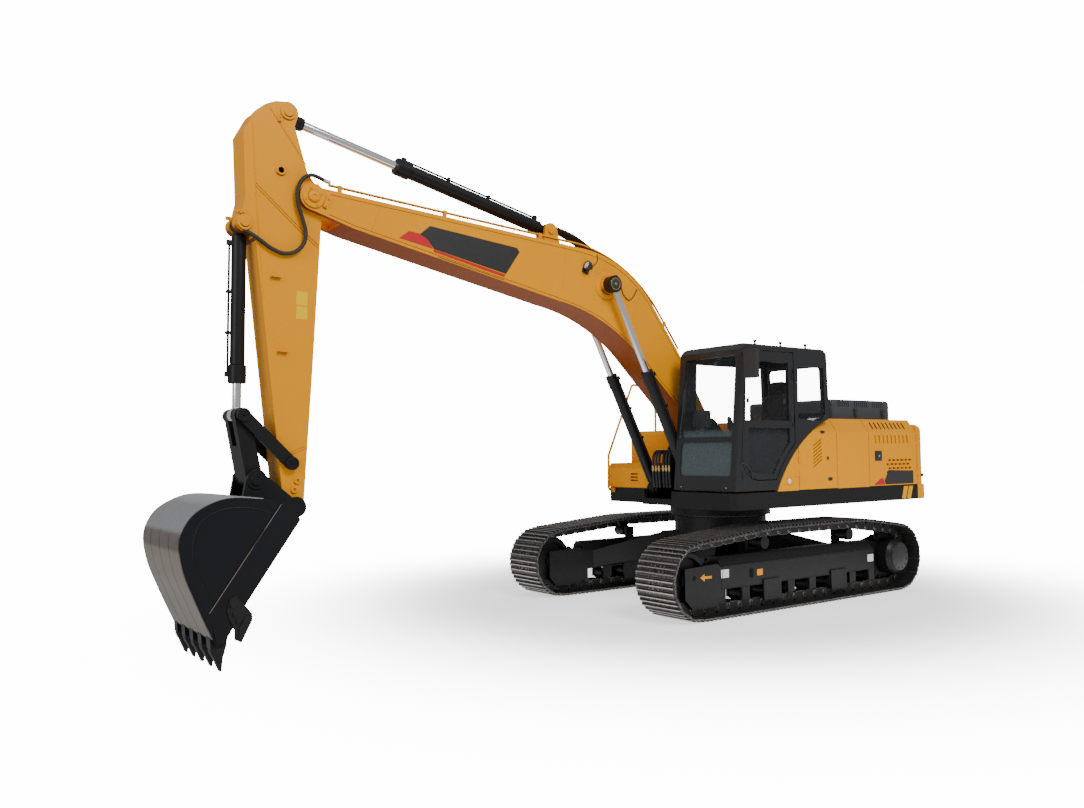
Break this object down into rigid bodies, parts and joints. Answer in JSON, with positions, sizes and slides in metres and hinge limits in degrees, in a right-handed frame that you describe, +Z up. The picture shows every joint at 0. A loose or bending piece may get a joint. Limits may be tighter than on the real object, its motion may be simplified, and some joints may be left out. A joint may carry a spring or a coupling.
{
  "type": "crawler excavator",
  "caption": "Crawler excavator: two steel tracks, slewing house with cab, doors and engine hood, boom, arm and bucket on hydraulic cylinders with coupled links.",
  "frame": {"origin": "on the slew axis at ground level", "axes": "+X forward towards the bucket, +Y to the operator's left, +Z up along the slew axis"},
  "size_m": [9.8492, 3.145, 5.136],
  "materials": {
    "body_yellow": "semi-gloss amber yellow paint",
    "frame_black": "satin black paint",
    "cab_black": "satin charcoal paint",
    "hood_grey": "matt dark grey",
    "track_steel": "dark steel with worn grousers",
    "ring_steel": "machined",
    "tooth_steel": "cast, dark",
    "rod_chrome": "hard chrome",
    "engine_grey": "satin grey",
    "glass": "tinted clear",
    "trim_plastic": "matt black",
    "seat_fabric": "dark grey woven"
  },
  "bodies": {
    "undercarriage": {"car_body": "frame_black", "side_frame_left": "frame_black", "side_frame_right": "frame_black", "track_left": "track_steel", "track_right": "track_steel", "idlers": "frame_black", "final_drives": "frame_black", "rollers": "frame_black", "slew_ring_inner": "ring_steel"},
    "house": {"slew_ring_outer": "frame_black", "deck": "frame_black", "counterweight": "body_yellow", "engine_block": "engine_grey", "top_cover": "body_yellow", "corner_panel_left": "body_yellow", "middle_panels": "body_yellow", "tank": "body_yellow", "tool_box": "body_yellow", "handrails": "body_yellow", "cab_shell": "cab_black", "cab_glass": "glass", "cab_mirror": "trim_plastic", "cab_controls": "trim_plastic", "seat": "seat_fabric"},
    "cab_door": {"cab_door": "cab_black", "cab_door_glass": "glass"},
    "front_door": {"front_door_left": "body_yellow"},
    "rear_door_l": {"rear_door_left": "body_yellow"},
    "rear_door_r": {"rear_door_right": "body_yellow"},
    "hood": {"engine_hood": "hood_grey"},
    "boom": {"boom": "body_yellow", "boom_pipes": "body_yellow", "boom_lamp": "trim_plastic"},
    "boom_barrels": {"boom_cylinder_barrels": "frame_black"},
    "boom_rods": {"boom_cylinder_rods": "rod_chrome"},
    "arm_barrel": {"arm_cylinder_barrel": "frame_black"},
    "arm_rod": {"arm_cylinder_rod": "rod_chrome"},
    "arm": {"arm": "body_yellow"},
    "bucket_barrel": {"bucket_cylinder_barrel": "frame_black"},
    "bucket_rod": {"bucket_cylinder_rod": "rod_chrome"},
    "idler_links": {"idler_links": "frame_black"},
    "bucket_link": {"bucket_link": "frame_black"},
    "bucket": {"bucket": "frame_black", "bucket_teeth": "tooth_steel"}
  },
  "joints": [
    {"name": "slew", "type": "hinge", "parent": "undercarriage", "child": "house", "pos_m": [0, 0, 1], "axis": [0, 0, 1], "continuous": true},
    {"name": "cab_door_swing", "type": "hinge", "parent": "house", "child": "cab_door", "pos_m": [0.16, 1.38, 2.2], "axis": [0, 0, 1], "range_deg": [0, 90]},
    {"name": "front_door_swing", "type": "hinge", "parent": "house", "child": "front_door", "pos_m": [0.105, 1.38, 1.6], "axis": [0, 0, -1], "range_deg": [0, 80]},
    {"name": "rear_door_left_swing", "type": "hinge", "parent": "house", "child": "rear_door_l", "pos_m": [-2.34515, 1.38, 1.6], "axis": [0, 0, 1], "range_deg": [0, 90]},
    {"name": "rear_door_right_swing", "type": "hinge", "parent": "house", "child": "rear_door_r", "pos_m": [-2.34515, -1.38, 1.6], "axis": [0, 0, -1], "range_deg": [0, 90]},
    {"name": "hood_lift", "type": "hinge", "parent": "house", "child": "hood", "pos_m": [-1.49, -0.262, 2.201], "axis": [1, 0, 0], "range_deg": [0, 70]},
    {"name": "boom_lift", "type": "hinge", "parent": "house", "child": "boom", "pos_m": [0.4, 0, 2.069], "axis": [0, -1, 0], "range_deg": [-58, 38]},
    {"name": "boom_barrel_turn", "type": "hinge", "parent": "house", "child": "boom_barrels", "pos_m": [0.829, 0, 1.338], "axis": [0, -1, 0], "range_deg": [-50.91, 33.46]},
    {"name": "boom_rod_slide", "type": "slide", "parent": "boom_barrels", "child": "boom_rods", "axis": [0.4542, 0, 0.8909], "range_m": [-0.7578, 0.4972]},
    {"name": "arm_swing", "type": "hinge", "parent": "boom", "child": "arm", "pos_m": [5.66611, 0, 4.2503], "axis": [0, 1, 0], "range_deg": [-75, 35]},
    {"name": "arm_barrel_turn", "type": "hinge", "parent": "boom", "child": "arm_barrel", "pos_m": [2.76221, 0, 4.33875], "axis": [0, 1, 0], "range_deg": [-2.92, 1.52]},
    {"name": "arm_rod_slide", "type": "slide", "parent": "arm_barrel", "child": "arm_rod", "axis": [0.976, 0, 0.2176], "range_m": [-0.9649, 0.4514]},
    {"name": "bucket_curl", "type": "hinge", "parent": "arm", "child": "bucket", "pos_m": [5.81944, 0, 1.33432], "axis": [0, 1, 0], "range_deg": [-10, 150]},
    {"name": "idler_turn", "type": "hinge", "parent": "arm", "child": "idler_links", "pos_m": [5.86335, 0, 1.73718], "axis": [0, 1, 0], "range_deg": [-7.91, 114.51]},
    {"name": "link_turn", "type": "hinge", "parent": "idler_links", "child": "bucket_link", "pos_m": [6.316, 0, 2.181], "axis": [0, 1, 0], "range_deg": [-70.12, 4.96]},
    {"name": "bucket_barrel_turn", "type": "hinge", "parent": "arm", "child": "bucket_barrel", "pos_m": [6.29864, 0, 3.93307], "axis": [0, 1, 0], "range_deg": [-0.32, 0.65]},
    {"name": "bucket_rod_slide", "type": "slide", "parent": "bucket_barrel", "child": "bucket_rod", "axis": [0.0099, 0, -1], "range_m": [-0.0753, 1.1021]}
  ],
  "couplings": [
    {"joint": "boom_barrel_turn", "follows": "boom_lift", "ratio": 0.8726},
    {"joint": "boom_rod_slide", "follows": "boom_lift", "m_per_rad": 0.7466},
    {"joint": "arm_barrel_turn", "follows": "arm_swing", "ratio": 0.0349},
    {"joint": "arm_rod_slide", "follows": "arm_swing", "m_per_rad": 0.7356},
    {"joint": "idler_turn", "follows": "bucket_curl", "ratio": 0.7614},
    {"joint": "link_turn", "follows": "bucket_curl", "ratio": -0.4655},
    {"joint": "bucket_barrel_turn", "follows": "bucket_curl", "ratio": 0.0023},
    {"joint": "bucket_rod_slide", "follows": "bucket_curl", "m_per_rad": 0.4202}
  ]
}
